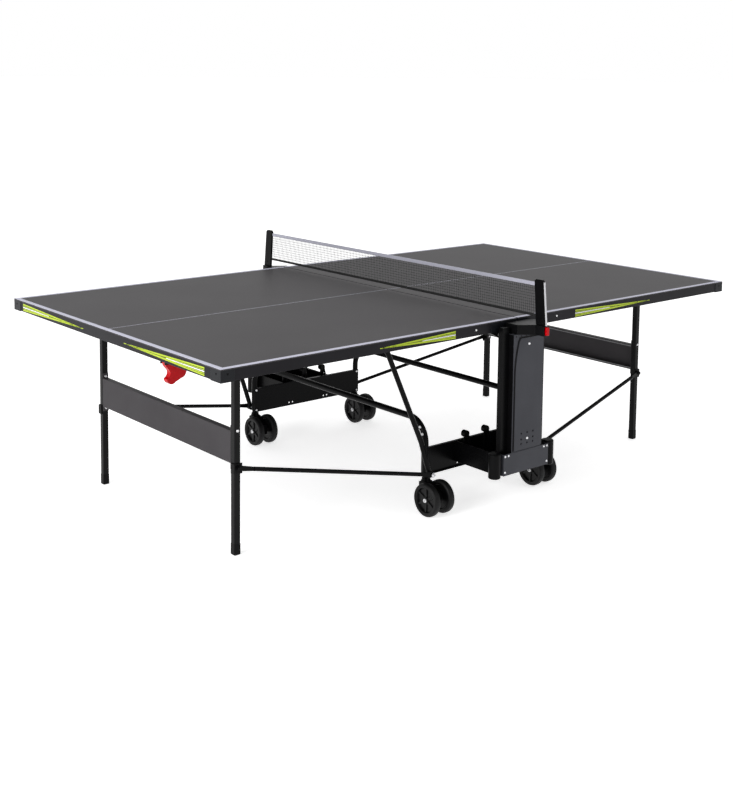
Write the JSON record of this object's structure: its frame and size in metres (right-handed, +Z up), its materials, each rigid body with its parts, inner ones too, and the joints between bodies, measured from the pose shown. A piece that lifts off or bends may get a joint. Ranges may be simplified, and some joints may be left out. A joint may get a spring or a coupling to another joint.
{
  "type": "ping pong table",
  "caption": "Folding rollaway ping pong table with playing halves, net set, folding legs tied by rods and a wheeled base with columns and ball trays.",
  "frame": {"origin": "on the floor under the middle of the net", "axes": "+X along the table's length, +Y across it along the net, +Z up"},
  "size_m": [2.74, 1.844, 0.925],
  "materials": {
    "playing_surface": "fine satin anthracite with white court lines",
    "black_plastic": "moulded, fine texture",
    "red_plastic": "gloss red",
    "wheel_plastic": "matt black tread on a spoked hub",
    "anthracite_steel": "powder coat, fine texture",
    "zinc_steel": "zinc plated",
    "black_steel": "black powder coat",
    "net_mesh": "knotted polyester mesh",
    "net_tape": "woven light grey tape"
  },
  "bodies": {
    "base": {"wheel_frame_left": "black_steel", "wheel_frame_right": "black_steel", "inner_panels": "black_steel", "base_walls": "black_steel", "base_plates": "anthracite_steel", "base_corner_caps": "black_plastic", "ball_trays": "black_plastic", "tray_clips": "black_plastic", "base_screws": "zinc_steel", "pivot_bolts": "zinc_steel", "columns": "anthracite_steel", "column_covers": "anthracite_steel", "guide_rails": "black_steel", "net_brackets": "black_plastic", "net_posts": "black_plastic", "net": "net_mesh", "net_tapes": "net_tape", "caster_sockets": "black_plastic"},
    "slider_left": {"guide_shoes_left": "black_plastic", "hinge_pins_left": "zinc_steel"},
    "half_left": {"table_top_left": "playing_surface", "rim_left": "black_steel", "corner_caps_left": "black_plastic", "stiffeners_left": "black_steel", "hinge_blocks_left": "black_plastic", "leg_hinges_left": "black_steel", "strut_rails_left": "black_steel"},
    "lever_left": {"release_lever_left": "red_plastic"},
    "leg_set_left": {"legs_left": "black_steel", "leg_feet_left": "black_plastic", "leg_panel_left": "anthracite_steel", "leg_clamps_left": "black_plastic"},
    "strut_pair_left": {"struts_left": "black_steel"},
    "rod_pair_left": {"leg_rods_left": "black_steel"},
    "slider_right": {"guide_shoes_right": "black_plastic", "hinge_pins_right": "zinc_steel"},
    "half_right": {"table_top_right": "playing_surface", "rim_right": "black_steel", "corner_caps_right": "black_plastic", "stiffeners_right": "black_steel", "hinge_blocks_right": "black_plastic", "leg_hinges_right": "black_steel"},
    "lever_right": {"release_lever_right": "red_plastic"},
    "leg_set_right": {"legs_right": "black_steel", "leg_feet_right": "black_plastic", "leg_panel_right": "anthracite_steel", "leg_clamps_right": "black_plastic"},
    "rod_pair_right": {"leg_rods_right": "black_steel"},
    "button_near": {"net_button_near": "red_plastic"},
    "fork_near_left": {"caster_fork_near_left": "black_plastic"},
    "wheels_near_left": {"caster_wheels_near_left": "wheel_plastic"},
    "fork_near_right": {"caster_fork_near_right": "black_plastic"},
    "wheels_near_right": {"caster_wheels_near_right": "wheel_plastic"},
    "button_far": {"net_button_far": "red_plastic"},
    "fork_far_left": {"caster_fork_far_left": "black_plastic"},
    "wheels_far_left": {"caster_wheels_far_left": "wheel_plastic"},
    "fork_far_right": {"caster_fork_far_right": "black_plastic"},
    "wheels_far_right": {"caster_wheels_far_right": "wheel_plastic"}
  },
  "joints": [
    {"name": "slide_left", "type": "slide", "parent": "base", "child": "slider_left", "axis": [0, 0, -1], "range_m": [0, 0.35401]},
    {"name": "fold_left", "type": "hinge", "parent": "slider_left", "child": "half_left", "pos_m": [-0.1, 0, 0.706], "axis": [0, 1, 0], "range_deg": [0, 90]},
    {"name": "legs_left", "type": "hinge", "parent": "half_left", "child": "leg_set_left", "pos_m": [-1.118, 0, 0.725], "axis": [0, -1, 0], "range_deg": [0, 71.98]},
    {"name": "struts_left", "type": "hinge", "parent": "base", "child": "strut_pair_left", "pos_m": [-0.303, 0, 0.158], "axis": [0, 1, 0], "range_deg": [0, 42.52]},
    {"name": "rods_left", "type": "hinge", "parent": "base", "child": "rod_pair_left", "pos_m": [-0.303, 0, 0.158], "axis": [0, 1, 0], "range_deg": [0, 85.54]},
    {"name": "lever_pull_left", "type": "hinge", "parent": "half_left", "child": "lever_left", "pos_m": [-1.33, -0.365, 0.706], "axis": [0, 1, 0], "range_deg": [0, 20], "stiffness_Nm_per_rad": 0.4, "springref_deg": -22.92},
    {"name": "slide_right", "type": "slide", "parent": "base", "child": "slider_right", "axis": [0, 0, -1], "range_m": [0, 0.35401]},
    {"name": "fold_right", "type": "hinge", "parent": "slider_right", "child": "half_right", "pos_m": [0.1, 0, 0.706], "axis": [0, -1, 0], "range_deg": [0, 90]},
    {"name": "legs_right", "type": "hinge", "parent": "half_right", "child": "leg_set_right", "pos_m": [1.118, 0, 0.725], "axis": [0, 1, 0], "range_deg": [0, 71.98]},
    {"name": "rods_right", "type": "hinge", "parent": "base", "child": "rod_pair_right", "pos_m": [0.303, 0, 0.158], "axis": [0, -1, 0], "range_deg": [0, 85.54]},
    {"name": "lever_pull_right", "type": "hinge", "parent": "half_right", "child": "lever_right", "pos_m": [1.33, 0.365, 0.706], "axis": [0, -1, 0], "range_deg": [0, 20], "stiffness_Nm_per_rad": 0.4, "springref_deg": -22.92},
    {"name": "button_press_near", "type": "slide", "parent": "base", "child": "button_near", "axis": [0, 1, 0], "range_m": [0, 0.005], "stiffness_N_per_m": 400, "springref_m": -0.005},
    {"name": "swivel_near_left", "type": "hinge", "parent": "base", "child": "fork_near_left", "pos_m": [-0.295, -0.576, 0.12], "axis": [0, 0, 1], "continuous": true},
    {"name": "roll_near_left", "type": "hinge", "parent": "fork_near_left", "child": "wheels_near_left", "pos_m": [-0.295, -0.624, 0.065], "axis": [1, 0, 0], "continuous": true},
    {"name": "swivel_near_right", "type": "hinge", "parent": "base", "child": "fork_near_right", "pos_m": [0.295, -0.576, 0.12], "axis": [0, 0, 1], "continuous": true},
    {"name": "roll_near_right", "type": "hinge", "parent": "fork_near_right", "child": "wheels_near_right", "pos_m": [0.295, -0.624, 0.065], "axis": [1, 0, 0], "continuous": true},
    {"name": "button_press_far", "type": "slide", "parent": "base", "child": "button_far", "axis": [0, -1, 0], "range_m": [0, 0.005], "stiffness_N_per_m": 400, "springref_m": -0.005},
    {"name": "swivel_far_left", "type": "hinge", "parent": "base", "child": "fork_far_left", "pos_m": [-0.295, 0.576, 0.12], "axis": [0, 0, 1], "continuous": true},
    {"name": "roll_far_left", "type": "hinge", "parent": "fork_far_left", "child": "wheels_far_left", "pos_m": [-0.295, 0.528, 0.065], "axis": [1, 0, 0], "continuous": true},
    {"name": "swivel_far_right", "type": "hinge", "parent": "base", "child": "fork_far_right", "pos_m": [0.295, 0.576, 0.12], "axis": [0, 0, 1], "continuous": true},
    {"name": "roll_far_right", "type": "hinge", "parent": "fork_far_right", "child": "wheels_far_right", "pos_m": [0.295, 0.528, 0.065], "axis": [1, 0, 0], "continuous": true}
  ],
  "couplings": [
    {"joint": "slide_left", "follows": "fold_left", "m_per_rad": 0.22536},
    {"joint": "legs_left", "follows": "fold_left", "ratio": 0.79967},
    {"joint": "struts_left", "follows": "fold_left", "ratio": 0.47233},
    {"joint": "rods_left", "follows": "fold_left", "ratio": 0.95033},
    {"joint": "slide_right", "follows": "fold_right", "m_per_rad": 0.22536},
    {"joint": "legs_right", "follows": "fold_right", "ratio": 0.79967},
    {"joint": "rods_right", "follows": "fold_right", "ratio": 0.95033}
  ]
}
